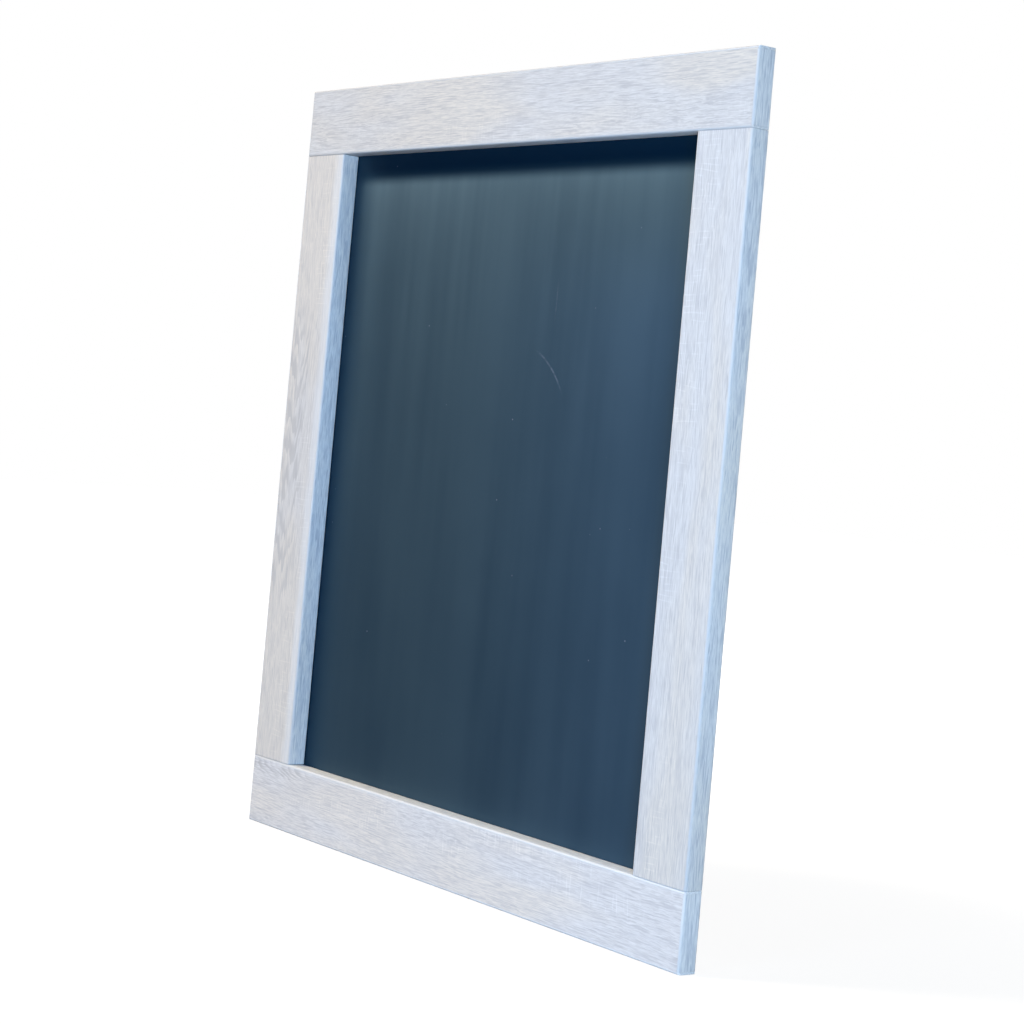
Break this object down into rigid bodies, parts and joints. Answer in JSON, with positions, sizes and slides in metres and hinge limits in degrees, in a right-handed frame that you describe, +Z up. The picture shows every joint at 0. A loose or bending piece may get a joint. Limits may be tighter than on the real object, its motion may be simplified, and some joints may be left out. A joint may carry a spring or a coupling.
{
  "type": "framed chalkboard",
  "caption": "Wall chalkboard: a dark coated writing panel set back in a flat butt-jointed frame of pale wood-faced board, hung from its back by swinging wire rings.",
  "frame": {"origin": "on the wall, midway between the two hooks that carry the board", "axes": "+X to the right seen from the front, +Y into the wall, +Z up"},
  "size_m": [0.635, 0.024, 0.711],
  "materials": {
    "washed_oak_decor": "melamine-faced board with a whitewashed oak print, matt, fine grain along the board",
    "washed_oak_edging": "plastic edging strip with the same whitewashed oak print, satin on its rounded corners",
    "slate_coating": "hardboard with a satin slate-coloured chalk coating in front, bare and brown behind",
    "beech": "bare beech",
    "zinc_plate": "bright zinc-plated steel",
    "nickel_plate": "nickel-plated steel, pressed and bent",
    "bumper_rubber": "matt black rubber"
  },
  "bodies": {
    "frame": {"top_rail_board": "washed_oak_decor", "top_rail_outer_edging": "washed_oak_edging", "top_rail_inner_edging": "washed_oak_edging", "top_rail_left_end_edging": "washed_oak_edging", "top_rail_right_end_edging": "washed_oak_edging", "bottom_rail_board": "washed_oak_decor", "bottom_rail_outer_edging": "washed_oak_edging", "bottom_rail_inner_edging": "washed_oak_edging", "bottom_rail_left_end_edging": "washed_oak_edging", "bottom_rail_right_end_edging": "washed_oak_edging", "left_stile_board": "washed_oak_decor", "left_stile_outer_edging": "washed_oak_edging", "left_stile_inner_edging": "washed_oak_edging", "right_stile_board": "washed_oak_decor", "right_stile_outer_edging": "washed_oak_edging", "right_stile_inner_edging": "washed_oak_edging", "writing_panel": "slate_coating", "top_dowel_1": "beech", "top_dowel_2": "beech", "top_dowel_3": "beech", "top_dowel_4": "beech", "bottom_dowel_1": "beech", "bottom_dowel_2": "beech", "bottom_dowel_3": "beech", "bottom_dowel_4": "beech", "panel_screw_01": "zinc_plate", "panel_screw_02": "zinc_plate", "panel_screw_03": "zinc_plate", "panel_screw_04": "zinc_plate", "panel_screw_05": "zinc_plate", "panel_screw_06": "zinc_plate", "panel_screw_07": "zinc_plate", "panel_screw_08": "zinc_plate", "panel_screw_09": "zinc_plate", "panel_screw_10": "zinc_plate", "panel_screw_11": "zinc_plate", "panel_screw_12": "zinc_plate", "panel_screw_13": "zinc_plate", "panel_screw_14": "zinc_plate", "left_hanger_strap": "nickel_plate", "left_hanger_screw_1": "zinc_plate", "left_hanger_screw_2": "zinc_plate", "left_wall_bumper": "bumper_rubber", "right_hanger_strap": "nickel_plate", "right_hanger_screw_1": "zinc_plate", "right_hanger_screw_2": "zinc_plate", "right_wall_bumper": "bumper_rubber"},
    "left_ring": {"left_hanger_ring": "nickel_plate"},
    "right_ring": {"right_hanger_ring": "nickel_plate"}
  },
  "joints": [
    {"name": "left_ring_swing", "type": "hinge", "parent": "frame", "child": "left_ring", "pos_m": [-0.29475, -0.00335, -0.01496], "axis": [-1, 0, 0], "range_deg": [0, 184]},
    {"name": "right_ring_swing", "type": "hinge", "parent": "frame", "child": "right_ring", "pos_m": [0.29475, -0.00335, -0.01496], "axis": [-1, 0, 0], "range_deg": [0, 184]}
  ]
}
